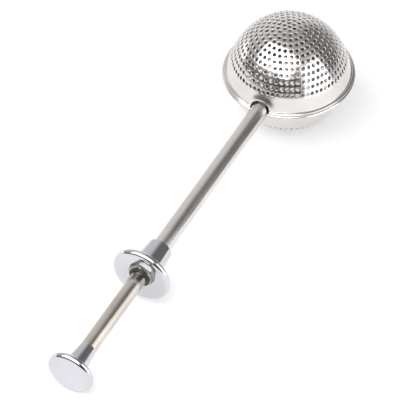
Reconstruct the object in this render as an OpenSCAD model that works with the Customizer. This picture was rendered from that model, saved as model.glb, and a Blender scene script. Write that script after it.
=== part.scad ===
// Push-type tea infuser, at rest on a table: it lies on its ball and on the edge of its thumb knob.
// Sizes are in millimetres. The tool is drawn about the ball's centre with its handle along -X and
// the seam of the ball in the XY plane, and rest_pose() then lays it down with the origin under the
// middle of its bounding box. A station is a distance from the ball's centre towards the knob.

/* [Ball] */
// Outer radius of the two perforated half shells
shell_r = 21.6; // [20:0.1:22.8]
// Thickness of the pressed sheet
shell_t = 0.5; // [0.4:0.05:0.6]
// Radius over the rim flanges
rim_r = 24; // [23.6:0.1:28]
// Gap between the two rim flanges
seam_gap = 0.16; // [0.1:0.02:0.3]
// Radius of the bend between wall and flange
bend_r = 0.8; // [0.5:0.1:1]
// Radius of the rolled edge round the lower shell
hem_r = 0.75; // [0.5:0.05:0.8]
// Rise of the upper shell's flange, which is domed
dome_h = 0.35; // [0.2:0.05:0.5]

/* [Perforation] */
// Diameter of one hole
hole_d = 1.25; // [0.8:0.05:1.3]
// Rings of holes round the one at the pole of the upper shell
upper_rings = 12; // [4:1:12]
// Rings of holes round the one at the pole of the lower shell
lower_rings = 10; // [4:1:12]
// Angle from the pole to the first ring, before the growth
ring_step = 5.3; // [5:0.05:5.3]
// Extra angle for each ring, times the ring's number squared
ring_growth = 0.05; // [0.02:0.01:0.05]

/* [Handle] */
// Outer diameter of the handle tube
tube_d = 6.4; // [6.3:0.1:6.6]
// Outer diameter of the plunger tube that slides in it
plunger_d = 5.7; // [5.6:0.05:5.7]
// Wall of both tubes
tube_wall = 0.3; // [0.2:0.05:0.3]
// Travel of the plunger and the upper shell
stroke = 33; // [15:1:33]
// How far the knob is pressed in, up to the travel
pressed = 0; // [0:1:33]
// Clearance all round the handle tube in the upper shell's notch
notch_gap = 0.7; // [0.3:0.05:0.8]
// How far the half collar drawn round the notch stands out from the ball
hood_len = 1.3; // [0.8:0.1:1.8]

/* [Finger flange] */
// Station of the flange's widest circle
flange_s = 110; // [105:0.5:112]
// Radius of the flange
flange_r = 10.6; // [10:0.1:12]
// Length of the flange's neck and flare, up to its widest circle
flange_len = 12.8; // [11.5:0.1:16]

/* [Thumb knob] */
// Station of the knob's widest circle
knob_s = 157.7; // [156:0.5:165]
// Radius of the knob
knob_r = 8.2; // [7.5:0.1:9]
// Length of the knob's neck and flare, up to its widest circle
knob_len = 11.1; // [10:0.1:12]

/* [Spring and rod] */
// Diameter of the core rod
rod_d = 2.4; // [2:0.1:2.6]
// Diameter of the spring wire
wire_d = 0.6; // [0.4:0.1:0.6]
// Turns of the return spring
coils = 18; // [12:1:20]

/* [Hidden] */
$fn = 96;

// Fits: a joint that is pressed or brazed, and a running fit, both on the radius
press_gap = 0.01;
run_gap = 0.05;

// Ball
shell_in = shell_r - shell_t;
flange_top = seam_gap / 2 + shell_t;
upper_flange_r = rim_r - 0.4;
dome_r = shell_r + 0.3;
notch_r = tube_d / 2 + notch_gap;

// Handle tube, its front bush and the saddle that holds it in the lower shell
tube_bore = plunger_d + 2 * run_gap;
tube_front_s = 19.6;
bush_len = 6;
saddle_r = 5.2;

// Finger flange and the parts in its face
edge_r = 1.4;
neck_r = 4.45;
neck_top_r = 5;
seat_r = 7.6;
seat_depth = 1.1;
step_r = 8.6;
flange_front_s = flange_s - flange_len;
flange_face_s = flange_s + edge_r;
seat_s = flange_face_s - seat_depth;
nut_flats = 8.2;
nut_t = 1.1;
nut_turn = 24;
guide_d = 7;
guide_lip_d = 7.7;
guide_lip_t = 0.25;
guide_len = 0.8;
nut_face_s = seat_s + nut_t;
tube_rear_s = nut_face_s - guide_len;

// Thumb knob
knob_neck_r = 2.95;
knob_neck_top_r = 3.6;
knob_socket = 6.4;
groove_r = 5;
groove_w = 0.25;
knob_front_s = knob_s - knob_len;
knob_face_s = knob_s + edge_r;
insert_len = 8;
stud_d = 3;
stud_len = 3;

// Plunger, plug and core rod
plunger_front_s = 74;
plunger_rear_s = knob_front_s + knob_socket;
plug_len = 8;
plug_grip = 6;
shoulder_d = 3.8;
shoulder_t = 1.2;
shoulder_s = tube_front_s - 0.2 - shoulder_t;

// Bracket of the upper shell
bracket_t = 0.8;
bracket_s = shoulder_s - bracket_t;
bracket_half_w = 5;
cheek_y = bracket_half_w - bracket_t;
bracket_top = 5.9;
bracket_low = 2.6;
foot_half_w = 9;
foot_low = flange_top + 0.3;
washer_t = 0.4;
rod_nut_flats = 4.6;
rod_nut_t = 1.8;
rod_tip_s = bracket_s - washer_t - rod_nut_t - 0.5;

// Spring, and how far it is pressed together
travel = min(pressed, stroke);
coil_r = (rod_d + wire_d) / 2 + 0.6;
spring_gap = 0.05;
spring_front_s = tube_front_s + bush_len + spring_gap;
spring_rear_s = plunger_front_s - travel - spring_gap;
wire_sides = 6;
turn_steps = 12;
spring_steps = coils * turn_steps;
spring_rise = (spring_rear_s - spring_front_s - wire_d) / spring_steps;

// Lying down: ball and knob edge both touch the table
knob_ring_r = knob_r - edge_r;
rest_tilt = asin((shell_r - edge_r) / norm([knob_s, knob_ring_r])) - atan2(knob_ring_r, knob_s);
x_low = -knob_s * cos(rest_tilt) - knob_ring_r * sin(rest_tilt) - edge_r;
x_high = (rim_r - hem_r) * cos(rest_tilt) + (seam_gap / 2 + hem_r) * sin(rest_tilt) + hem_r;

module rest_pose() {
    translate([-(x_low + x_high) / 2, 0, shell_r])
        rotate([0, -rest_tilt, 0])
            children();
}

// Carries a sliding part forward as the knob is pressed
module sliding() {
    rest_pose()
        translate([travel, 0, 0])
            children();
}

// Turns +Z towards the knob and starts at a station
module at_station(s) {
    rotate([0, -90, 0])
        translate([0, 0, s])
            children();
}

// A round bar, or a tube when bore is over 0, between two stations
module bar(s1, s2, d, bore = 0) {
    at_station(s1)
        difference() {
            cylinder(d = d, h = s2 - s1);
            if (bore > 0)
                translate([0, 0, -1])
                    cylinder(d = bore, h = s2 - s1 + 2);
        }
}

// Ball

function ring_angle(i) = ring_step * i + ring_growth * i * i;
function ring_count(i) = max(1, 6 * i);

// Radial holes in rings of 6, 12, 18 and so on, each ring turned half a pitch from the last
module perforation(rings) {
    for (i = [0 : rings])
        for (k = [0 : ring_count(i) - 1])
            rotate([0, ring_angle(i), 360 * (k + (i % 2) / 2) / ring_count(i)])
                translate([0, 0, shell_in - shell_t])
                    cylinder(d = hole_d, h = 3 * shell_t, $fn = 16);
}

// Half section of a shell, opening upwards from the seam: wall, flange and the bend between them
module shell_section(flange_r) {
    intersection() {
        difference() {
            circle(r = shell_r);
            circle(r = shell_in);
        }
        translate([0, seam_gap / 2])
            square(shell_r);
    }
    translate([shell_in, seam_gap / 2])
        square([flange_r - shell_in, shell_t]);
    difference() {
        translate([shell_r - shell_t / 2, flange_top - shell_t / 2])
            square(bend_r + shell_t / 2);
        translate([shell_r + bend_r, flange_top + bend_r])
            circle(r = bend_r);
    }
}

// Half section of the domed flange: level beside the wall and falling towards its edge
module flange_dome() {
    reach = upper_flange_r - dome_r;
    bow = (reach * reach + dome_h * dome_h) / (2 * dome_h);
    intersection() {
        translate([dome_r, flange_top + dome_h - bow])
            circle(r = bow);
        translate([shell_in, seam_gap / 2])
            square([upper_flange_r - shell_in, shell_t + dome_h]);
    }
}

// Half collar drawn out of the upper shell round its notch, before the notch is cut
module notch_hood() {
    difference() {
        intersection() {
            bar(shell_in / 2, shell_r + hood_len, 2 * (notch_r + shell_t));
            translate([-rim_r, -rim_r, seam_gap / 2])
                cube([rim_r, 2 * rim_r, rim_r]);
        }
        sphere(r = shell_r - shell_t / 2);
    }
}

module upper_shell() {
    color("silver")
        difference() {
            union() {
                rotate_extrude() {
                    shell_section(upper_flange_r);
                    flange_dome();
                }
                notch_hood();
            }
            perforation(upper_rings);
            bar(shell_in / 2, rim_r + 1, 2 * notch_r);
        }
}

module lower_shell() {
    color("lightgray")
        mirror([0, 0, 1])
            difference() {
                rotate_extrude() {
                    shell_section(rim_r - hem_r);
                    translate([rim_r - hem_r, seam_gap / 2 + hem_r])
                        circle(r = hem_r);
                }
                perforation(lower_rings);
                bar(shell_in / 2, rim_r + 1, tube_d + 2 * press_gap);
            }
}

// Half collar that fills the corner between the tube's end and the lower shell's wall
module tube_saddle() {
    color("gray")
        intersection() {
            bar(tube_front_s, shell_in, 2 * saddle_r, tube_d + 2 * press_gap);
            sphere(r = shell_in - press_gap, $fn = 360);
            translate([-rim_r, -rim_r, -rim_r])
                cube([rim_r, 2 * rim_r, rim_r - seam_gap]);
        }
}

// Handle

module handle_tube() {
    color("lightsteelblue")
        bar(tube_front_s, tube_rear_s, tube_d, tube_bore);
}

module front_bush() {
    color("goldenrod")
        bar(tube_front_s, tube_front_s + bush_len, tube_bore - 2 * press_gap, rod_d + 2 * run_gap);
}

// Outline of a trumpet from its neck to its rounded edge: radius across, station up
module trumpet(front_s, wide_s, neck, neck_top, wide_r) {
    ring_r = wide_r - edge_r;
    flare_r = ring_r - neck_top;
    back_s = wide_s - edge_r;
    polygon([[0, front_s], [neck - 0.2, front_s], [neck, front_s + 0.2],
             [neck_top, back_s - flare_r], [neck_top, back_s + 0.1], [0, back_s + 0.1]]);
    difference() {
        translate([neck_top - 0.1, back_s - flare_r])
            square([flare_r + 0.1, flare_r + 0.1]);
        translate([ring_r, back_s - flare_r])
            circle(r = flare_r);
    }
    translate([0, back_s])
        square([ring_r, 2 * edge_r]);
    translate([ring_r, wide_s])
        circle(r = edge_r);
}

// Hollow of the flange's face: a flat seat round the nut and a step with a spherical wall up to the edge
module face_hollow() {
    rise = (step_r * step_r - seat_r * seat_r + seat_depth * seat_depth) / (2 * seat_depth);
    intersection() {
        translate([0, seat_s + rise])
            circle(r = norm([seat_r, rise]));
        translate([0, seat_s])
            square([step_r + 1, seat_depth + 1]);
    }
}

module finger_flange() {
    color("whitesmoke")
        at_station(0)
            rotate_extrude()
                difference() {
                    trumpet(flange_front_s, flange_s, neck_r, neck_top_r, flange_r);
                    face_hollow();
                    translate([0, flange_front_s - 1])
                        square([tube_d / 2 + press_gap, flange_len + 5]);
                }
}

// Hexagonal nut with its corners turned down, and a recess for the guide bush
module retaining_nut() {
    corner_r = nut_flats / sqrt(3);
    color("gainsboro")
        difference() {
            intersection() {
                at_station(seat_s)
                    rotate([0, 0, 90 - nut_turn])
                        cylinder(r = corner_r, h = nut_t, $fn = 6);
                at_station(seat_s)
                    cylinder(r1 = corner_r + nut_t, r2 = nut_flats / 2 + 0.05, h = nut_t);
            }
            bar(seat_s - 1, seat_s + nut_t + 1, tube_d + 2 * press_gap);
            bar(tube_rear_s, nut_face_s + 1, guide_d + 2 * press_gap);
        }
}

module guide_bush() {
    color("black") {
        difference() {
            union() {
                bar(tube_rear_s, nut_face_s, guide_d);
                bar(nut_face_s, nut_face_s + guide_lip_t, guide_lip_d);
            }
            bar(tube_rear_s - 1, nut_face_s + 1, plunger_d + 2 * run_gap);
        }
    }
}

// Compression spring: a ring of wire points is swept along the helix
function wire_point(n, m) =
    let (a = 360 * n / turn_steps,
         b = 360 * m / wire_sides,
         r = coil_r + wire_d / 2 * cos(b))
    [r * cos(a), r * sin(a), wire_d / 2 * (1 + sin(b)) + n * spring_rise];

module return_spring() {
    points = [for (n = [0 : spring_steps]) for (m = [0 : wire_sides - 1]) wire_point(n, m)];
    sides = [for (n = [0 : spring_steps - 1]) for (m = [0 : wire_sides - 1]) for (half = [0, 1])
        let (p = n * wire_sides, q = p + wire_sides, next = (m + 1) % wire_sides)
        half == 0 ? [p + m, q + m, q + next] : [p + m, q + next, p + next]];
    first_end = [for (m = [0 : wire_sides - 1]) m];
    last_end = [for (m = [wire_sides - 1 : -1 : 0]) spring_steps * wire_sides + m];
    color("slategray")
        at_station(spring_front_s)
            polyhedron(points, concat(sides, [first_end, last_end]));
}

// Sliding parts

module core_rod() {
    color("darkgray") {
        bar(rod_tip_s, plunger_front_s + plug_grip, rod_d);
        bar(shoulder_s, shoulder_s + shoulder_t, shoulder_d);
    }
}

// Pressed hat-shaped bracket: two feet on the wall, two cheeks beside the tube, a plate on the rod
module shell_bracket() {
    color("rosybrown")
        difference() {
            union() {
                intersection() {
                    difference() {
                        sphere(r = shell_in - press_gap);
                        sphere(r = shell_in - press_gap - bracket_t);
                    }
                    for (side = [0, 1])
                        mirror([0, side, 0])
                            translate([-shell_r, cheek_y, foot_low])
                                cube([shell_r / 2, foot_half_w - cheek_y, bracket_top - foot_low]);
                }
                intersection() {
                    sphere(r = shell_in - press_gap);
                    for (side = [0, 1])
                        mirror([0, side, 0])
                            translate([-shell_r, cheek_y, foot_low])
                                cube([shell_r - bracket_s, bracket_t, bracket_top - foot_low]);
                }
                translate([-bracket_s - bracket_t, -bracket_half_w, -bracket_low])
                    cube([bracket_t, 2 * bracket_half_w, bracket_low + bracket_top]);
            }
            bar(bracket_s - 1, bracket_s + bracket_t + 1, rod_d + 2 * press_gap);
        }
}

module bracket_washer() {
    color("white")
        bar(bracket_s - washer_t, bracket_s, rod_nut_flats, rod_d + 2 * press_gap);
}

module bracket_nut() {
    color("silver")
        difference() {
            at_station(bracket_s - washer_t - rod_nut_t)
                cylinder(d = rod_nut_flats / cos(30), h = rod_nut_t, $fn = 6);
            bar(rod_tip_s, bracket_s, rod_d + 2 * press_gap);
        }
}

module plunger_plug() {
    color("peru")
        difference() {
            bar(plunger_front_s, plunger_front_s + plug_len, plunger_d - 2 * tube_wall - 2 * press_gap);
            bar(plunger_front_s - 1, plunger_front_s + plug_grip + press_gap, rod_d + 2 * press_gap);
        }
}

module plunger_tube() {
    color("tan")
        bar(plunger_front_s, plunger_rear_s, plunger_d, plunger_d - 2 * tube_wall);
}

// Plug in the plunger's rear end, with the stud that the knob screws on to
module knob_insert() {
    color("peru") {
        bar(plunger_rear_s - insert_len, plunger_rear_s, plunger_d - 2 * tube_wall - 2 * press_gap);
        bar(plunger_rear_s - 1, plunger_rear_s + stud_len, stud_d);
    }
}

module thumb_knob() {
    color("whitesmoke")
        at_station(0)
            rotate_extrude()
                difference() {
                    trumpet(knob_front_s, knob_s, knob_neck_r, knob_neck_top_r, knob_r);
                    translate([0, knob_front_s - 1])
                        square([plunger_d / 2 + press_gap, knob_socket + 1 + press_gap]);
                    translate([0, knob_front_s])
                        square([stud_d / 2 + press_gap, knob_socket + stud_len + press_gap]);
                    translate([groove_r, knob_face_s])
                        circle(r = groove_w);
                }
}

rest_pose() lower_shell();
sliding() upper_shell();
rest_pose() handle_tube();
rest_pose() tube_saddle();
rest_pose() front_bush();
rest_pose() finger_flange();
rest_pose() retaining_nut();
rest_pose() guide_bush();
rest_pose() return_spring();
sliding() core_rod();
sliding() shell_bracket();
sliding() bracket_washer();
sliding() bracket_nut();
sliding() plunger_plug();
sliding() plunger_tube();
sliding() knob_insert();
sliding() thumb_knob();
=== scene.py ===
"""Looks of the push-type tea infuser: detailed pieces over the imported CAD, studio light and camera.

Lengths are in millimetres in the tool's own frame (origin at the ball's centre, handle along -X,
seam of the ball in the XY plane) until add_piece() lays them down in the row frame in metres.
A station is a distance from the ball's centre towards the knob.
"""
import math

import bpy
import numpy as np
from mathutils import Matrix, Vector
from mathutils.geometry import delaunay_2d_cdt


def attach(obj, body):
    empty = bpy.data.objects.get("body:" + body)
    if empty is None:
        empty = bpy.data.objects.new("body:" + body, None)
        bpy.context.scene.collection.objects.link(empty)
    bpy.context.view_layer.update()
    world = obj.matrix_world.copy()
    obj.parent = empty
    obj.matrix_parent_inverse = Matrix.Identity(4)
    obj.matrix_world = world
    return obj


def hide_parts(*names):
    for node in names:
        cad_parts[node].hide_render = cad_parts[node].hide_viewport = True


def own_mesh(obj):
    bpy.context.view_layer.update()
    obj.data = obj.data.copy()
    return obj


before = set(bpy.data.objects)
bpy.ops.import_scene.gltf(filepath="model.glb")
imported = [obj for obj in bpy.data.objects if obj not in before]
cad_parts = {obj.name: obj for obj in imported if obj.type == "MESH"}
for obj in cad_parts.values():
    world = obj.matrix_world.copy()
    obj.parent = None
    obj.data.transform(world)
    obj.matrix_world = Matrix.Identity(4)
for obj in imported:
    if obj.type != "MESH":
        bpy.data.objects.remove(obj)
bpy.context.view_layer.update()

# ---------------------------------------------------------------- sizes

# The ball: wall, rim and its bends, cut-outs for the handle, hood over the notch, holes and lips
SHELL_R, SHELL_T = 21.6, 0.5
INNER_R = SHELL_R - SHELL_T
RIM_R, HEM_R, UPPER_RIM_R = 24.0, 0.75, 23.6
RIM_LOW, RIM_TOP = 0.08, 0.58
BEND_R, BEND_IN, UPPER_BEND_R = 0.8, 0.45, 0.25
CONE_FOOT, DOME_EASE = 1.05, 0.14
NOTCH_R, TUBE_HOLE_R = 3.9, 3.21
HOOD_LEN, HOOD_WIDTH, HOOD_REACH, HOOD_END_R = 0.6, 1.7, 4, 23.4
HOLE_R, HOLE_SIDES = 0.625, 18
LIP_OUT, LIP_IN = 0.19, 0.06
UPPER_RINGS, LOWER_RINGS, RING_STEP, RING_GROWTH = 12, 10, 5.3, 0.05
CAP_MARGIN = 2.6
COLUMNS = 288

# Handle and plunger: radii, then stations of ends and faces
TUBE_R, TUBE_BORE_R, TUBE_FRONT, TUBE_REAR = 3.2, 2.9, 19.6, 110.6
PLUNGER_R, PLUNGER_BORE_R, PLUNGER_FRONT, PLUNGER_REAR = 2.85, 2.55, 74.0, 153.0
FLANGE_FRONT, FLANGE_BACK, FLANGE_SEAT, FLANGE_FACE = 97.2, 108.6, 110.3, 111.4
FLANGE_R, FLANGE_EDGE_R = 10.6, 1.4
ROD_R, ROD_TIP, ROD_REAR = 1.2, 14.7, 80.0
SPRING_FRONT, SPRING_REAR = 25.65, 73.95
KNOB_FRONT, KNOB_S, KNOB_R, EDGE_R = 146.6, 157.7, 8.2, 1.4


def lying_down():
    """Matrix that lays the tool on its ball and its knob's edge, with the origin under its middle."""
    ring = KNOB_R - EDGE_R
    tilt = math.asin((SHELL_R - EDGE_R) / math.hypot(KNOB_S, ring)) - math.atan2(ring, KNOB_S)
    low = -KNOB_S * math.cos(tilt) - ring * math.sin(tilt) - EDGE_R
    high = (RIM_R - HEM_R) * math.cos(tilt) + (RIM_LOW + HEM_R) * math.sin(tilt) + HEM_R
    return Matrix.Translation((-(low + high) / 2, 0, SHELL_R)) @ Matrix.Rotation(-tilt, 4, "Y")


LAID = Matrix.Scale(0.001, 4) @ lying_down()

# ---------------------------------------------------------------- mesh helpers


def signed_volume(points, faces):
    total = 0.0
    for face in faces:
        a = points[face[0]]
        for i in range(1, len(face) - 1):
            total += np.dot(a, np.cross(points[face[i]], points[face[i + 1]]))
    return total


def facing(points, faces, normals):
    """Positive when the points' normals lie on the same side as the faces' own."""
    total = 0.0
    for a, b, c in (face[:3] for face in faces):
        own = np.cross(points[b] - points[a], points[c] - points[a])
        total += float(own @ (normals[a] + normals[b] + normals[c]))
    return total


def add_piece(name, points, faces, body, material, stands_for, slot, normals=None):
    """A closed mesh from points in the tool's frame, laid down, smooth and riding on a body."""
    points = np.asarray(points, float)
    if signed_volume(points, faces) < 0:
        faces = [tuple(reversed(face)) for face in faces]
    mesh = bpy.data.meshes.new(name)
    mesh.from_pydata([LAID @ Vector(p) for p in points], [], faces)
    mesh.polygons.foreach_set("use_smooth", [True] * len(mesh.polygons))
    if normals is not None:
        normals = np.asarray(normals, float)
        if facing(points, faces, normals) < 0:
            normals = -normals
        turn = np.array(LAID.to_3x3().normalized())
        turned = normals @ turn.T
        mesh.normals_split_custom_set_from_vertices([Vector(n).normalized() for n in turned])
    mesh.materials.append(material)
    piece = bpy.data.objects.new(name, mesh)
    bpy.context.scene.collection.objects.link(piece)
    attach(piece, body)
    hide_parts(*stands_for)
    return piece


def outline(corners, step=7.5):
    """Rounds the corners (across, along, radius) of a path and gives points with their normals.

    A normal points to the left of the path's direction. A corner of radius 0 keeps its place.
    """
    at = [np.array(c[:2], float) for c in corners]
    points, normals = [], []
    for i, corner in enumerate(corners):
        before = at[i] - at[i - 1] if i else None
        after = at[i + 1] - at[i] if i < len(corners) - 1 else None
        before = after if before is None else before
        after = before if after is None else after
        before, after = before / np.linalg.norm(before), after / np.linalg.norm(after)
        left_in, left_out = np.array([-before[1], before[0]]), np.array([-after[1], after[0]])
        turn = math.atan2(before[0] * after[1] - before[1] * after[0], float(before @ after))
        radius = corner[2]
        if radius == 0 or abs(turn) < 1e-4:
            mean = left_in + left_out
            points.append(at[i])
            normals.append(mean / np.linalg.norm(mean))
            continue
        side = math.copysign(1, turn)
        start = at[i] - before * radius * math.tan(abs(turn) / 2)
        centre = start + left_in * radius * side
        steps = max(3, math.ceil(math.degrees(abs(turn)) / step))
        for k in range(steps + 1):
            a = turn * k / steps
            c, s = math.cos(a), math.sin(a)
            left = np.array([left_in[0] * c - left_in[1] * s, left_in[0] * s + left_in[1] * c])
            points.append(centre - left * radius * side)
            normals.append(left)
    return points, normals


def revolve(path, sides, closed):
    """Points, faces and normals of a path (points, normals) turned about the handle's axis."""
    profile, normal = path
    points, normals, rows = [], [], []
    for (across, along), (na, nl) in zip(profile, normal):
        first = len(points)
        if across < 1e-6:
            points.append((-along, 0, 0))
            normals.append((-nl, 0, 0))
            rows.append([first] * sides)
            continue
        for k in range(sides):
            a = 2 * math.pi * k / sides
            points.append((-along, across * math.sin(a), across * math.cos(a)))
            normals.append((-nl, na * math.sin(a), na * math.cos(a)))
        rows.append(list(range(first, first + sides)))
    faces = []
    for j in range(len(rows) - (0 if closed else 1)):
        a, b = rows[j], rows[(j + 1) % len(rows)]
        for k in range(sides):
            m = (k + 1) % sides
            face = []
            for v in (a[k], a[m], b[m], b[k]):
                if v not in face:
                    face.append(v)
            if len(face) > 2:
                faces.append(tuple(face))
    return points, faces, normals


def tube_path(front, rear, outer, bore):
    """Outline of a tube's wall, with eased ends, going round so that its left is outside."""
    ease = 0.08
    corners = [(outer, front, ease), (outer, rear, ease), (bore, rear, ease), (bore, front, ease)]
    return closed_outline(corners)


def closed_outline(corners, step=7.5):
    """outline() of a closed path: the first corner is repeated at both ends and then trimmed."""
    points, normals = outline([corners[-1]] + list(corners) + [corners[0]], step)
    return points[1:-1], normals[1:-1]


# ---------------------------------------------------------------- materials


def node_tree(name):
    material = bpy.data.materials.new(name)
    material.use_nodes = True
    tree = material.node_tree
    return material, tree, tree.nodes["Principled BSDF"]


def noise(tree, scale, detail=3.0, stretch=None):
    """A noise texture over the object's own coordinates in metres."""
    coords = tree.nodes.new("ShaderNodeTexCoord")
    texture = tree.nodes.new("ShaderNodeTexNoise")
    texture.inputs["Scale"].default_value = scale
    texture.inputs["Detail"].default_value = detail
    if stretch is None:
        tree.links.new(coords.outputs["Object"], texture.inputs["Vector"])
    else:
        mapping = tree.nodes.new("ShaderNodeMapping")
        mapping.inputs["Scale"].default_value = stretch
        tree.links.new(coords.outputs["Object"], mapping.inputs["Vector"])
        tree.links.new(mapping.outputs["Vector"], texture.inputs["Vector"])
    return texture.outputs["Fac"]


def spread(tree, source, low, high):
    """The noise's middle range spread over low to high."""
    ramp = tree.nodes.new("ShaderNodeMapRange")
    ramp.inputs["From Min"].default_value = 0.3
    ramp.inputs["From Max"].default_value = 0.7
    ramp.inputs["To Min"].default_value = low
    ramp.inputs["To Max"].default_value = high
    tree.links.new(source, ramp.inputs["Value"])
    return ramp.outputs["Result"]


def blend_colour(tree, factor, a, b):
    mix = tree.nodes.new("ShaderNodeMix")
    mix.data_type = "RGBA"
    mix.inputs["A"].default_value = (*a, 1)
    mix.inputs["B"].default_value = (*b, 1)
    tree.links.new(factor, mix.inputs["Factor"])
    return mix.outputs["Result"]


def bump(tree, shader, height, distance):
    node = tree.nodes.new("ShaderNodeBump")
    node.inputs["Distance"].default_value = distance
    tree.links.new(height, node.inputs["Height"])
    tree.links.new(node.outputs["Normal"], shader.inputs["Normal"])


def metal(name, light, dark, rough, grain, bump_mm, stretch=None):
    """Metal with a mottled tint, uneven polish and a fine grain; stretch scales the grain by axis."""
    material, tree, shader = node_tree(name)
    shader.inputs["Metallic"].default_value = 1.0
    tint = spread(tree, noise(tree, 90), 0, 1)
    tree.links.new(blend_colour(tree, tint, light, dark), shader.inputs["Base Color"])
    polish = spread(tree, noise(tree, grain / 3, stretch=stretch), *rough)
    tree.links.new(polish, shader.inputs["Roughness"])
    bump(tree, shader, noise(tree, grain, stretch=stretch), bump_mm * 0.001)
    return material


# Drawn tubes have their grain along the handle
ALONG = (0.05, 1, 1)

ball_steel = metal("ball_steel", (0.70, 0.68, 0.67), (0.63, 0.61, 0.60), (0.13, 0.24), 420, 0.012)
# Darker, rougher steel for the faces inside the ball: the rougher polish is the sheet's own, the
# darker colour is painted shade inside the ball and its holes
dull_steel = metal("dull_steel", (0.40, 0.39, 0.38), (0.30, 0.29, 0.28), (0.35, 0.5), 420, 0.01)
tube_steel = metal("tube_steel", (0.70, 0.68, 0.66), (0.62, 0.60, 0.58), (0.18, 0.3), 1500, 0.006,
                   ALONG)
plunger_steel = metal("plunger_steel", (0.61, 0.575, 0.53), (0.53, 0.485, 0.44), (0.16, 0.28), 1500,
                      0.006, ALONG)
chrome_plate = metal("chrome_plate", (0.585, 0.59, 0.62), (0.545, 0.55, 0.58), (0.05, 0.11), 500,
                     0.003)
nut_steel = metal("nut_steel", (0.44, 0.42, 0.40), (0.34, 0.32, 0.30), (0.15, 0.3), 1200, 0.01)
spring_steel = metal("spring_steel", (0.50, 0.50, 0.51), (0.38, 0.38, 0.39), (0.25, 0.4), 1500,
                     0.01)


def black_plastic():
    material, tree, shader = node_tree("bush_plastic")
    tint = spread(tree, noise(tree, 700), 0, 1)
    colour = blend_colour(tree, tint, (0.020, 0.018, 0.016), (0.035, 0.031, 0.028))
    tree.links.new(colour, shader.inputs["Base Color"])
    tree.links.new(spread(tree, noise(tree, 900, 2), 0.35, 0.55), shader.inputs["Roughness"])
    bump(tree, shader, noise(tree, 3000), 0.00001)
    return material


bush_plastic = black_plastic()

# ---------------------------------------------------------------- the ball


def direction(polar, azimuth):
    """Unit vector at a polar angle from +Z and an azimuth, both in degrees."""
    p, a = math.radians(polar), math.radians(azimuth)
    return np.array([math.sin(p) * math.cos(a), math.sin(p) * math.sin(a), math.cos(p)])


def ring_angle(i):
    return RING_STEP * i + RING_GROWTH * i * i


def hole_places(rings):
    """Polar angle and azimuth of each hole, ring by ring from the pole."""
    for i in range(rings + 1):
        polar = ring_angle(i)
        count = max(1, 6 * i)
        for k in range(count):
            yield polar, 360 * (k + (i % 2) / 2) / count


def flat(vector):
    """Azimuthal map of a direction, for the triangulation."""
    polar = math.acos(max(-1.0, min(1.0, vector[2])))
    across = math.hypot(vector[0], vector[1]) or 1.0
    return polar * vector[0] / across, polar * vector[1] / across


def hole_loops(rings):
    """For each hole: its axis and two directions square to it."""
    for polar, azimuth in hole_places(rings):
        axis = direction(polar, azimuth)
        down = direction(polar + 90, azimuth)
        yield axis, down, np.cross(axis, down)


def round_the_hole(axis, u, v, radius, across):
    """Points of one loop of a hole: a distance from the centre of the ball along its axis."""
    for m in range(HOLE_SIDES):
        a = 2 * math.pi * m / HOLE_SIDES
        side = u * math.cos(a) + v * math.sin(a)
        yield axis * math.sqrt(max(0.0, radius ** 2 - across ** 2)) + side * across, side


def cap_triangles(rings):
    """Triangles between the holes of the perforated cap, by loop point and rim point."""
    flats, edges = [], []
    for axis, u, v in hole_loops(rings):
        first = len(flats)
        for point, _ in round_the_hole(axis, u, v, SHELL_R, HOLE_R + LIP_OUT):
            flats.append(flat(point / np.linalg.norm(point)))
        edges += [(first + m, first + (m + 1) % HOLE_SIDES) for m in range(HOLE_SIDES)]
    rim = len(flats)
    for k in range(COLUMNS):
        flats.append(flat(direction(ring_angle(rings) + CAP_MARGIN, 180 + 360 * k / COLUMNS)))
        edges.append((rim + k, rim + (k + 1) % COLUMNS))
    _, _, cells, origins, _, _ = delaunay_2d_cdt([Vector(p) for p in flats], edges, [], 0, 1e-7)
    original = [sources[0] for sources in origins]
    triangles = []
    for face in cells:
        corners = [original[v] for v in face]
        holes = {c // HOLE_SIDES if c < rim else -1 - c for c in corners}
        if len(holes) > 1:
            triangles.append(tuple(corners))
    return triangles


# The upper shell bulges a little at the edge of its holes, and the plain band below runs on as a
# cone: (polar angle, slope of the surface outward from the sphere)
PRESSED = ((0, 0), (62, 0), (70, 0.10), (72.9, 0.12), (74.2, 0.03), (88, 0.27))


def pressed_at(polar):
    """How far the sheet stands outside the sphere at a polar angle, in mm, and its slope there."""
    lift = 0.0
    for (a, slope_a), (b, slope_b) in zip(PRESSED, PRESSED[1:]):
        top = min(max(polar, a), b)
        share = (top - a) / (b - a)
        slope = slope_a + (slope_b - slope_a) * share
        lift += (slope_a + slope) / 2 * math.radians(top - a) * SHELL_R
        if polar <= b:
            return lift, slope
    return lift, 0.0


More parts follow.
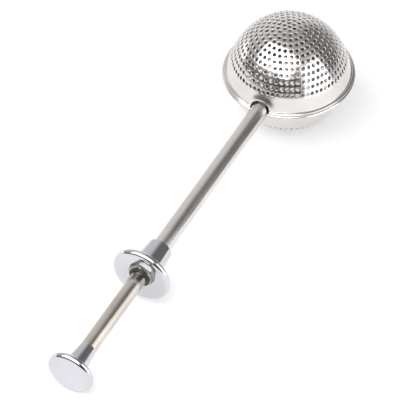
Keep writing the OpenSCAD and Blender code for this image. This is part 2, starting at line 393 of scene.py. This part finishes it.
class Sheet:
    """Collects the points, normals and faces of one half shell; the lower one is flipped and plain."""

    def __init__(self, flip):
        self.points, self.normals, self.faces, self.dull, self.flip = [], [], [], [], flip

    def add(self, point, normal, pressed=True):
        if pressed and not self.flip:
            point, normal = self.draw_hood(*self.press(point, normal))
        x, y, z = point
        a, b, c = normal
        sign = -1 if self.flip else 1
        self.points.append((x, y, sign * z))
        self.normals.append((a, b, sign * c))
        return len(self.points) - 1

    @staticmethod
    def press(point, normal):
        """Moves a point of the wall outward by the pressed shape, and leans its normal to suit."""
        point, normal = np.array(point, float), np.array(normal, float)
        distance = np.linalg.norm(point)
        axis = point / distance
        lift, slope = pressed_at(math.degrees(math.acos(axis[2])))
        if abs(lift) < 1e-6 or distance > SHELL_R + 0.001:
            return point, normal
        across = math.hypot(axis[0], axis[1])
        down = np.array([axis[0] * axis[2] / across, axis[1] * axis[2] / across, -across])
        outward = float(normal @ axis)
        leaning = normal + slope * (float(normal @ down) * axis - outward * down)
        return point + axis * lift, leaning / np.linalg.norm(leaning)

    @staticmethod
    def draw_hood(point, normal):
        """Draws the wall out along the handle round the notch, and leans its normal to suit.

        The hood dies out towards HOOD_END_R, short of the rim.
        """
        across = math.hypot(point[1], point[2])
        off = max(0.0, across - NOTCH_R)
        if point[0] > 0 or off > HOOD_REACH:
            return point, normal
        room = (HOOD_END_R - np.linalg.norm(point)) / HOOD_LEN
        height = HOOD_LEN * min(max(room, 0.0), 1.0) * math.exp(-(off / HOOD_WIDTH) ** 2)
        slope = -2 * off / HOOD_WIDTH ** 2 * height
        leaning = normal + slope * normal[0] * np.array([0, point[1], point[2]]) / across
        return point - np.array([height, 0, 0]), leaning / np.linalg.norm(leaning)

    # A face can be marked for the darker inner steel, which paints the shade inside the ball
    def face(self, *corners, dull=False):
        kept = []
        for c in corners:
            if c not in kept:
                kept.append(c)
        if len(kept) > 2:
            self.faces.append(tuple(reversed(kept)) if self.flip else tuple(kept))
            self.dull.append(dull)


def perforated_cap(sheet, rings, rim_out, rim_in):
    """Outer and inner skins between the holes, and the rounded wall of each hole; the inner ones take
    painted shade.
    """
    loops_out, loops_in = [], []
    for axis, u, v in hole_loops(rings):
        loops = []
        for k in range(5):
            a = math.radians(90 * k / 4)
            across = HOLE_R + LIP_OUT * (1 - math.sin(a))
            radius = SHELL_R - LIP_OUT * (1 - math.cos(a))
            loops.append([(p, axis * math.cos(a) - side * math.sin(a))
                          for p, side in round_the_hole(axis, u, v, radius, across)])
        for k in range(3):
            a = math.radians(90 * k / 2)
            across = HOLE_R + LIP_IN * (1 - math.cos(a))
            radius = INNER_R + LIP_IN * (1 - math.sin(a))
            loops.append([(p, -side * math.cos(a) - axis * math.sin(a))
                          for p, side in round_the_hole(axis, u, v, radius, across)])
        made = [[sheet.add(p, n) for p, n in loop] for loop in loops]
        loops_out += made[0]
        loops_in += made[-1]
        for k, (a, b) in enumerate(zip(made, made[1:])):
            for m in range(HOLE_SIDES):
                n = (m + 1) % HOLE_SIDES
                sheet.face(a[m], a[n], b[n], b[m], dull=k > 4)
    out, inside = loops_out + rim_out, loops_in + rim_in
    for a, b, c in cap_triangles(rings):
        sheet.face(out[a], out[b], out[c])
        sheet.face(inside[c], inside[b], inside[a], dull=True)


def bend_rows(radius, plane, bend):
    """Rounded corner between a sphere and the plane z = plane, from the sphere to the plane."""
    centre_z = plane + bend
    centre_r = math.sqrt((radius + bend) ** 2 - centre_z ** 2)
    start = math.degrees(math.atan2(centre_z, centre_r)) + 180
    rows = []
    for a in np.radians(np.linspace(start, 270, 7)):
        c, s = math.cos(a), math.sin(a)
        rows.append((centre_r + bend * c, centre_z + bend * s, -c, -s))
    return rows


# Angles round the cut-out at which a row of the wall meets its edge
CUT_ANGLES = (0, 3, 8, 15, 23, 32, 42, 52)


def wall_rows(radius, top, low, cut_r, sign, steps):
    """Rows down the sphere to z = low; the last ones follow the round top of the cut-out."""
    heights = [top + (cut_r - top) * k / steps for k in range(steps)]
    heights += [cut_r * math.cos(math.radians(a)) for a in CUT_ANGLES]
    rows = []
    for z in heights:
        if z > low:
            r = math.sqrt(radius ** 2 - z * z)
            rows.append((r, z, sign * r / radius, sign * z / radius))
    return rows


def flare_rows():
    """Rounded corner from the foot of the upper shell's cone to a level plane."""
    wall = np.array([math.sqrt(SHELL_R ** 2 - CONE_FOOT ** 2), 0, CONE_FOOT])
    (r, _, z), (across, _, up) = Sheet.press(wall, wall / SHELL_R)
    lean, bend = math.atan2(up, across), UPPER_BEND_R
    centre_r, centre_z = r + bend * across, z + bend * up
    return [(centre_r - bend * math.cos(a), centre_z - bend * math.sin(a),
             math.cos(a), math.sin(a)) for a in np.linspace(lean, math.pi / 2, 7)]


def domed_rows(start_r, top_z):
    """Rows over the upper rim's dome, level at start_r, and round its edge."""
    reach, height, ease = UPPER_RIM_R - start_r, top_z - RIM_TOP, DOME_EASE
    bow = (reach ** 2 + height ** 2) / (2 * height)
    last = math.asin((reach - ease) / (bow - ease))
    centre_z, edge_r = top_z - bow, UPPER_RIM_R - ease
    dome = [(start_r + bow * math.sin(a), centre_z + bow * math.cos(a), math.sin(a), math.cos(a))
            for a in np.linspace(last / 8, last, 8)]
    edge_z = centre_z + (bow - ease) * math.cos(last)
    edge = [(edge_r + ease * math.sin(a), edge_z + ease * math.cos(a), math.sin(a), math.cos(a))
            for a in np.linspace(last, math.pi / 2, 5)[1:]]
    edge += [(edge_r + ease * math.cos(a), RIM_LOW + ease - ease * math.sin(a),
              math.cos(a), -math.sin(a)) for a in np.linspace(0, math.pi / 2, 5)]
    return dome, edge


def hemmed_rows(start_r):
    """Rows over the lower rim's short flat and round its rolled edge."""
    centre_r, centre_z = RIM_R - HEM_R, RIM_LOW + HEM_R
    end_r = centre_r - math.sqrt(HEM_R ** 2 - (centre_z - RIM_TOP) ** 2) - 0.02
    level = [(start_r + (end_r - start_r) * k / 2, RIM_TOP, 0, 1) for k in (1, 2)]
    edge = [(centre_r + HEM_R * math.cos(a), centre_z + HEM_R * math.sin(a),
             math.cos(a), math.sin(a)) for a in np.radians(np.linspace(192, -90, 29))]
    return level, edge


def inner_bend_rows(hem):
    """Rounded corner between the inner wall, pressed out on the upper shell, and the underside."""
    foot_angle, start = 86, 181.5
    centre_z = RIM_LOW + BEND_IN
    centre_r = math.sqrt((INNER_R + BEND_IN) ** 2 - centre_z ** 2)
    if not hem:
        centre_r += pressed_at(foot_angle)[0]
    return [(centre_r + BEND_IN * math.cos(a), centre_z + BEND_IN * math.sin(a),
             math.cos(a), math.sin(a)) for a in np.radians(np.linspace(start, 270, 7))]


def sheet_rows(cut_r, hem, cap_angle, steps):
    """Matching outer and inner rows (across, height, normal) of the plain band, and its edge.

    The last value is the number of rows of the inner wall.
    """
    if hem:
        bend_out = bend_rows(SHELL_R, RIM_TOP, BEND_R)
        reach, edge = hemmed_rows(bend_out[-1][0])
    else:
        bend_out = flare_rows()
        reach, edge = domed_rows(bend_out[-1][0], bend_out[-1][1])
    bend_in = inner_bend_rows(hem)
    top = SHELL_R * math.cos(math.radians(cap_angle))
    low = bend_out[0][1] + 0.05
    out = wall_rows(SHELL_R, top, low, cut_r, 1, steps)
    inside = wall_rows(INNER_R, top * INNER_R / SHELL_R, low, cut_r, -1, steps)
    walls = len(inside)
    out += bend_out + reach
    from_r, to_r = bend_in[-1][0], reach[-1][0] - 0.1
    under = [(from_r + (to_r - from_r) * (k + 1) / len(reach), RIM_LOW, 0, -1)
             for k in range(len(reach))]
    return out, inside + bend_in + under, edge, walls


def ring_of(sheet, row, cut_r):
    """One row turned about Z, opened where the handle's cut-out of radius cut_r takes it away."""
    r, z, nr, nz = row
    gap = math.degrees(math.asin(math.sqrt(max(0.0, cut_r ** 2 - z * z)) / r))
    swing, ring = 35.0, []
    for k in range(COLUMNS + 1):
        u = 360 * k / COLUMNS
        near = min(u, 360 - u)
        turned = gap + (1 - gap / swing) * near if near < swing else near
        turned = turned if u <= 180 else 360 - turned
        if k == COLUMNS and gap < 1e-3:
            ring.append(ring[0])
            continue
        side = direction(90, 180 + turned)
        ring.append(sheet.add((r * side[0], r * side[1], z), (nr * side[0], nr * side[1], nz)))
    return ring, gap


def half_shell(name, rings, cut_r, hem, flip, body, stands_for):
    sheet = Sheet(flip)
    cap_angle = ring_angle(rings) + CAP_MARGIN
    steps = 5 if cap_angle > 70 else 14
    out_rows, in_rows, edge_rows, walls = sheet_rows(cut_r, hem, cap_angle, steps)
    out = [ring_of(sheet, row, cut_r) for row in out_rows]
    edge = [ring_of(sheet, row, cut_r) for row in edge_rows]
    inside = [ring_of(sheet, row, cut_r) for row in in_rows]
    loop = out + edge + inside[::-1]
    for j, ((a, _), (b, _)) in enumerate(zip(loop, loop[1:])):
        for k in range(COLUMNS):
            sheet.face(a[k], b[k], b[k + 1], a[k + 1], dull=j >= len(loop) - walls)
    perforated_cap(sheet, rings, out[0][0][:-1], inside[0][0][:-1])
    for column in (0, COLUMNS):
        cut_faces(sheet, [r[0][column] for r in out[steps:]], [r[0][column] for r in inside[steps:]],
                  [r[0][column] for r in edge], column == 0)
    piece = add_piece(name, sheet.points, sheet.faces, body, ball_steel, stands_for, "ball_steel",
                      sheet.normals)
    # The faces inside the ball take this darker steel as painted shade
    piece.data.materials.append(dull_steel)
    piece.data.polygons.foreach_set("material_index", [int(d) for d in sheet.dull])


def cut_faces(sheet, out, inside, edge, first):
    """The sheet's bare edge along one side of the cut-out, with its own flat normals."""
    sign = -1 if sheet.flip else 1

    def copy(index, normal):
        x, y, z = sheet.points[index]
        return sheet.add((x, y, sign * z), normal, pressed=False)

    def square_to(i):
        x, y, z = (np.mean([sheet.points[out[i]], sheet.points[inside[i]]], axis=0))
        toward = np.array([0, -y, -sign * z])
        return toward / np.linalg.norm(toward)

    outs = [copy(v, square_to(i)) for i, v in enumerate(out)]
    ins = [copy(v, square_to(i)) for i, v in enumerate(inside)]
    ends = [copy(v, square_to(len(out) - 1)) for v in edge]
    for i in range(len(outs) - 1):
        quad = (outs[i], ins[i], ins[i + 1], outs[i + 1])
        sheet.face(*(quad if first else quad[::-1]))
    last = [outs[-1], ins[-1]] + ends[::-1]
    sheet.face(*(last if first else last[::-1]))


half_shell("ball_upper", UPPER_RINGS, NOTCH_R, False, False, "plunger", ["upper_shell"])
half_shell("ball_lower", LOWER_RINGS, TUBE_HOLE_R, True, True, "handle", ["lower_shell"])

# ---------------------------------------------------------------- handle and plunger


def turned(name, path, body, material, stands_for, slot, sides=96, closed=True):
    points, faces, normals = revolve(path, sides, closed)
    return add_piece(name, points, faces, body, material, stands_for, slot, normals)


turned("tube", tube_path(TUBE_FRONT, TUBE_REAR, TUBE_R, TUBE_BORE_R), "handle", tube_steel,
       ["handle_tube"], "tube_steel")
turned("plunger", tube_path(PLUNGER_FRONT, PLUNGER_REAR, PLUNGER_R, PLUNGER_BORE_R), "plunger",
       plunger_steel, ["plunger_tube"], "plunger_steel")


def flange_path():
    """Trumpet with a rounded edge and a face dished gently down to the nut, round to its bore."""
    bore, neck_r, throat_r, throat_bend = 3.22, 4.45, 5.33, 4.15
    dish_r, seat_r = 9.0, 4.2
    steepness = (FLANGE_FACE - FLANGE_SEAT) / (dish_r ** 2 - seat_r ** 2)
    dish = [(r, FLANGE_SEAT + (r ** 2 - seat_r ** 2) * steepness, 0)
            for r in np.linspace(dish_r - 0.3, seat_r + 0.3, 12)]
    corners = [(bore, FLANGE_FRONT, 0.1), (neck_r, FLANGE_FRONT, 0.25),
               (throat_r, FLANGE_BACK, throat_bend), (FLANGE_R, FLANGE_BACK, FLANGE_EDGE_R),
               (FLANGE_R, FLANGE_FACE, FLANGE_EDGE_R - 0.02), (dish_r, FLANGE_FACE, 0.5)]
    corners += dish + [(seat_r, FLANGE_SEAT, 0.2), (bore, FLANGE_SEAT, 0.05)]
    return closed_outline(corners, 5)


def knob_path():
    """Trumpet with a rounded edge, a fine groove in its flat face and a socket in its neck."""
    back, face = KNOB_S - EDGE_R, KNOB_S + EDGE_R
    socket_r, neck_r, throat_r, throat_bend = 2.86, 2.95, 3.93, 3.15
    groove_r, groove_half, groove_depth = 5.0, 0.3, 0.08
    corners = [(0, PLUNGER_REAR, 0), (socket_r, PLUNGER_REAR, 0.05), (socket_r, KNOB_FRONT, 0.03),
               (neck_r, KNOB_FRONT, 0.03), (throat_r, back, throat_bend), (KNOB_R, back, EDGE_R),
               (KNOB_R, face, EDGE_R), (groove_r + groove_half, face, 0.15),
               (groove_r, face - groove_depth, 0.3), (groove_r - groove_half, face, 0.15),
               (0, face, 0)]
    return outline(corners, 5)


turned("flange", flange_path(), "handle", chrome_plate, ["finger_flange"], "chrome_plate", 160)
turned("knob", knob_path(), "plunger", chrome_plate, ["thumb_knob"], "chrome_plate", 160, False)


def bush_path():
    """Sleeve in the nut's recess behind the tube, with a narrow lip over the nut's face."""
    bore, sleeve_r, lip_r, lip_t = 2.9, 3.49, 3.85, 0.25
    lip_s = FLANGE_FACE + lip_t
    corners = [(bore, TUBE_REAR, 0.05), (sleeve_r, TUBE_REAR, 0.05), (sleeve_r, FLANGE_FACE, 0.05),
               (lip_r, FLANGE_FACE, 0.06), (lip_r, lip_s, 0.1), (bore, lip_s, 0.1)]
    return closed_outline(corners)


turned("bush", bush_path(), "handle", bush_plastic, ["guide_bush"], "bush_plastic")


def collar_nut():
    """Hexagonal nut in the flange's face: corners cut back by a cone, a recess for the bush."""
    flat_r, chamfer, cone_slope, turn, sides = 4.1, 0.4, 1.3, 6, 144
    corner_r = 2 * flat_r / math.sqrt(3)
    bore, recess_r, ease, bevel, bevel_len = TUBE_R + 0.01, 3.5, 0.08, 0.1, 0.12
    front, rear = FLANGE_SEAT, FLANGE_FACE
    cone_front = rear - chamfer
    points, faces, rings = [], [], []

    def ring(station, radius_at):
        first = len(points)
        for k in range(sides):
            a = 360 * k / sides
            t, r = math.radians(a), radius_at(a)
            points.append((-station, r * math.sin(t), r * math.cos(t)))
        rings.append(list(range(first, first + sides)))

    def hexagon(station, shrink=0.0):
        cone = corner_r + 0.05 - max(0.0, station - cone_front) * cone_slope
        limit = min(corner_r - 0.1, cone)

        def radius_at(a):
            off = (a - turn) % 60 - 30
            return min(flat_r / math.cos(math.radians(off)), limit) - shrink

        ring(station, radius_at)

    def circle(station, radius):
        ring(station, lambda a: radius)

    circle(front, bore)
    hexagon(front, bevel)
    hexagon(front + bevel_len)
    for k in range(7):
        hexagon(cone_front + chamfer * k / 6)
    circle(rear, flat_r - 0.35)
    circle(rear, recess_r + ease)
    circle(rear - ease, recess_r)
    circle(TUBE_REAR, recess_r)
    circle(TUBE_REAR, bore)
    for j in range(len(rings)):
        a, b = rings[j], rings[(j + 1) % len(rings)]
        for k in range(sides):
            m = (k + 1) % sides
            faces.append((a[k], a[m], b[m], b[k]))
    piece = add_piece("collar_nut", points, faces, "handle", nut_steel, ["retaining_nut"], "nut_steel")
    piece.data.set_sharp_from_angle(angle=math.radians(28))


collar_nut()


def rod_path():
    """Rod with a threaded tip that ends at a shoulder."""
    thread_end, shoulder_front, shoulder_rear, shoulder_r = 18.0, 18.2, 19.4, 1.9
    corners = [(0, ROD_TIP, 0), (ROD_R, ROD_TIP, 0.25)]
    pitch, depth, s = 0.4, 0.12, ROD_TIP + 0.5
    while s < thread_end:
        corners += [(ROD_R, s, 0.04), (ROD_R - depth, s + pitch / 2, 0.04)]
        s += pitch
    corners += [(ROD_R, shoulder_front, 0.02), (shoulder_r, shoulder_front, 0.12),
                (shoulder_r, shoulder_rear, 0.12), (ROD_R, shoulder_rear, 0.1),
                (ROD_R, ROD_REAR, 0.1), (0, ROD_REAR, 0)]
    return outline(corners, 20)


turned("rod", rod_path(), "plunger", plunger_steel, ["core_rod"], "plunger_steel", 48, False)


def spring():
    """Helical spring of round wire with closed ends."""
    coils, coil_r, wire_r, closed_turns = 18, 2.1, 0.3, 1.0
    per_turn, sides = 24, 10
    steps = coils * per_turn
    length = SPRING_REAR - SPRING_FRONT
    open_turns = coils - 2 * closed_turns
    closed_pitch = 2 * wire_r * 1.02
    open_pitch = (length - 2 * wire_r - 2 * closed_turns * closed_pitch) / open_turns
    points, faces = [], []
    for n in range(steps + 1):
        turn = n / per_turn
        along = SPRING_FRONT + wire_r + closed_pitch * min(turn, closed_turns)
        along += open_pitch * min(max(turn - closed_turns, 0), open_turns)
        along += closed_pitch * max(turn - closed_turns - open_turns, 0)
        a = 2 * math.pi * turn
        for m in range(sides):
            b = 2 * math.pi * m / sides
            r = coil_r + wire_r * math.cos(b)
            points.append((-(along + wire_r * math.sin(b)), r * math.sin(a), r * math.cos(a)))
    for n in range(steps):
        for m in range(sides):
            p, q, k = n * sides, (n + 1) * sides, (m + 1) % sides
            faces.append((p + m, p + k, q + k, q + m))
    faces.append(tuple(reversed(range(sides))))
    faces.append(tuple(range(steps * sides, steps * sides + sides)))
    piece = add_piece("spring", points, faces, "handle", spring_steel, ["return_spring"],
                      "spring_steel")
    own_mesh(piece)


spring()

for node_name, finish in (("tube_saddle", ball_steel), ("front_bush", bush_plastic),
                          ("shell_bracket", ball_steel), ("bracket_washer", nut_steel),
                          ("bracket_nut", nut_steel), ("plunger_plug", plunger_steel),
                          ("knob_insert", plunger_steel)):
    # The CAD's own mesh is shown for these
    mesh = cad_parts[node_name].data
    mesh.materials.clear()
    mesh.materials.append(finish)

# ---------------------------------------------------------------- studio

CAMERA_AT = Vector((-0.5968, -0.2940, 0.6198))
CAMERA_AIM = Vector((0.0022, 0.0012, 0.0100))
CAMERA_ROLL = math.radians(2.33)

camera_data = bpy.data.cameras.new("camera")
camera_data.lens = 235.35
camera_data.sensor_width = 36
camera_data.clip_start = 0.01
camera = bpy.data.objects.new("camera", camera_data)
bpy.context.scene.collection.objects.link(camera)
look = (CAMERA_AIM - CAMERA_AT).to_track_quat("-Z", "Y").to_matrix().to_4x4()
camera.matrix_world = Matrix.Translation(CAMERA_AT) @ look @ Matrix.Rotation(CAMERA_ROLL, 4, "Z")
bpy.context.scene.camera = camera


def pale_floor():
    mesh = bpy.data.meshes.new("floor")
    half = 3.0
    mesh.from_pydata([(-half, -half, 0), (half, -half, 0), (half, half, 0), (-half, half, 0)], [],
                     [(0, 1, 2, 3)])
    material, tree, shader = node_tree("floor")
    shader.inputs["Base Color"].default_value = (0.60, 0.60, 0.60, 1)
    shader.inputs["Emission Color"].default_value = (1.0, 1.0, 1.0, 1)
    shader.inputs["Emission Strength"].default_value = 0.40
    shader.inputs["Roughness"].default_value = 0.8
    mesh.materials.append(material)
    floor = bpy.data.objects.new("floor", mesh)
    bpy.context.scene.collection.objects.link(floor)


pale_floor()


def heading(azimuth, elevation):
    """Unit vector towards an azimuth and elevation, both in degrees."""
    a, e = math.radians(azimuth), math.radians(elevation)
    return Vector((math.cos(e) * math.cos(a), math.cos(e) * math.sin(a), math.sin(e)))


class Sky:
    """World shader that paints soft-edged panels on a base colour, by direction."""

    def __init__(self, base):
        world = bpy.data.worlds.new("studio")
        bpy.context.scene.world = world
        world.use_nodes = True
        self.tree = world.node_tree
        self.tree.nodes.clear()
        self.toward = self.tree.nodes.new("ShaderNodeTexCoord").outputs["Generated"]
        rgb = self.tree.nodes.new("ShaderNodeRGB")
        rgb.outputs[0].default_value = (*base, 1)
        self.colour = rgb.outputs[0]

    def math(self, operation, a, b=None):
        node = self.tree.nodes.new("ShaderNodeMath")
        node.operation = operation
        for socket, value in zip(node.inputs, (a, b)):
            if isinstance(value, (int, float)):
                socket.default_value = value
            elif value is not None:
                self.tree.links.new(value, socket)
        return node.outputs[0]

    def along(self, vector):
        node = self.tree.nodes.new("ShaderNodeVectorMath")
        node.operation = "DOT_PRODUCT"
        self.tree.links.new(self.toward, node.inputs[0])
        node.inputs[1].default_value = vector
        return node.outputs["Value"]

    def inside(self, value, half, soft):
        node = self.tree.nodes.new("ShaderNodeMapRange")
        node.interpolation_type = "SMOOTHSTEP"
        node.inputs["From Min"].default_value = half + soft
        node.inputs["From Max"].default_value = half - soft
        self.tree.links.new(value, node.inputs["Value"])
        return node.outputs["Result"]

    def panel(self, azimuth, elevation, wide, tall, soft, colour):
        """A panel seen in one direction; wide and tall are half angles in degrees, soft its edge."""
        toward, a = heading(azimuth, elevation), math.radians(azimuth)
        right = Vector((math.sin(a), -math.cos(a), 0))
        up = right.cross(toward)
        depth = self.along(toward)
        across = self.math("DIVIDE", self.along(right), depth)
        height = self.math("DIVIDE", self.along(up), depth)
        wide_mask = self.inside(self.math("ABSOLUTE", across), math.tan(math.radians(wide)), soft)
        tall_mask = self.inside(self.math("ABSOLUTE", height), math.tan(math.radians(tall)), soft)
        mask = self.math("MULTIPLY", wide_mask, tall_mask)
        mask = self.math("MULTIPLY", mask, self.math("GREATER_THAN", depth, 0.02))
        self.mix(mask, colour)

    def lobe(self, azimuth, elevation, radius, soft, colour):
        """A round soft patch; radius and soft are angles in degrees."""
        node = self.tree.nodes.new("ShaderNodeMapRange")
        node.interpolation_type = "SMOOTHSTEP"
        node.inputs["From Min"].default_value = math.cos(math.radians(radius + soft))
        node.inputs["From Max"].default_value = math.cos(math.radians(max(0, radius - soft)))
        along = self.along(heading(azimuth, elevation))
        self.tree.links.new(along, node.inputs["Value"])
        self.mix(node.outputs["Result"], colour)

    def mix(self, mask, colour):
        node = self.tree.nodes.new("ShaderNodeMix")
        node.data_type = "RGBA"
        self.tree.links.new(mask, node.inputs["Factor"])
        self.tree.links.new(self.colour, node.inputs["A"])
        node.inputs["B"].default_value = (*colour, 1)
        self.colour = node.outputs["Result"]

    def finish(self):
        background = self.tree.nodes.new("ShaderNodeBackground")
        self.tree.links.new(self.colour, background.inputs["Color"])
        output = self.tree.nodes.new("ShaderNodeOutputWorld")
        self.tree.links.new(background.outputs[0], output.inputs["Surface"])


def soft_box(name, centre, aim, wide, tall, radiance):
    """Area light of an even radiance that reflections see and the camera doesn't; metres."""
    data = bpy.data.lights.new(name, "AREA")
    data.shape = "RECTANGLE"
    data.size, data.size_y = wide, tall
    data.energy = radiance * wide * tall * math.pi
    light = bpy.data.objects.new(name, data)
    turn = (Vector(aim) - Vector(centre)).to_track_quat("-Z", "Y").to_matrix().to_4x4()
    light.matrix_world = Matrix.Translation(centre) @ turn
    light.visible_camera = False
    bpy.context.scene.collection.objects.link(light)


soft_box("key", (-0.26, 0.08, 0.455), (0.067, 0, 0.022), 0.80, 0.47, 3.4)
soft_box("side", (0.003, -0.25, 0.136), (0.003, 0, 0.136), 0.26, 0.27, 1.7)

# Reflected surroundings: a bright side, darker patches on the camera side and round the horizon
sky = Sky((0.50, 0.49, 0.485))
sky.lobe(40, 18, 34, 26, (0.86, 0.85, 0.845))
sky.lobe(-32, 34, 26, 14, (0.21, 0.205, 0.21))
sky.lobe(-55, 12, 20, 10, (0.21, 0.205, 0.21))
sky.lobe(-154, 8, 32, 12, (0.035, 0.030, 0.028))
sky.panel(142, 0, 42, 16, 0.12, (0.10, 0.10, 0.10))
sky.lobe(25, 0, 18, 12, (1.15, 1.16, 1.18))
sky.panel(88, 0, 14, 9, 0.06, (2.2, 2.2, 2.2))
sky.finish()

bpy.context.scene.view_settings.view_transform = "Standard"
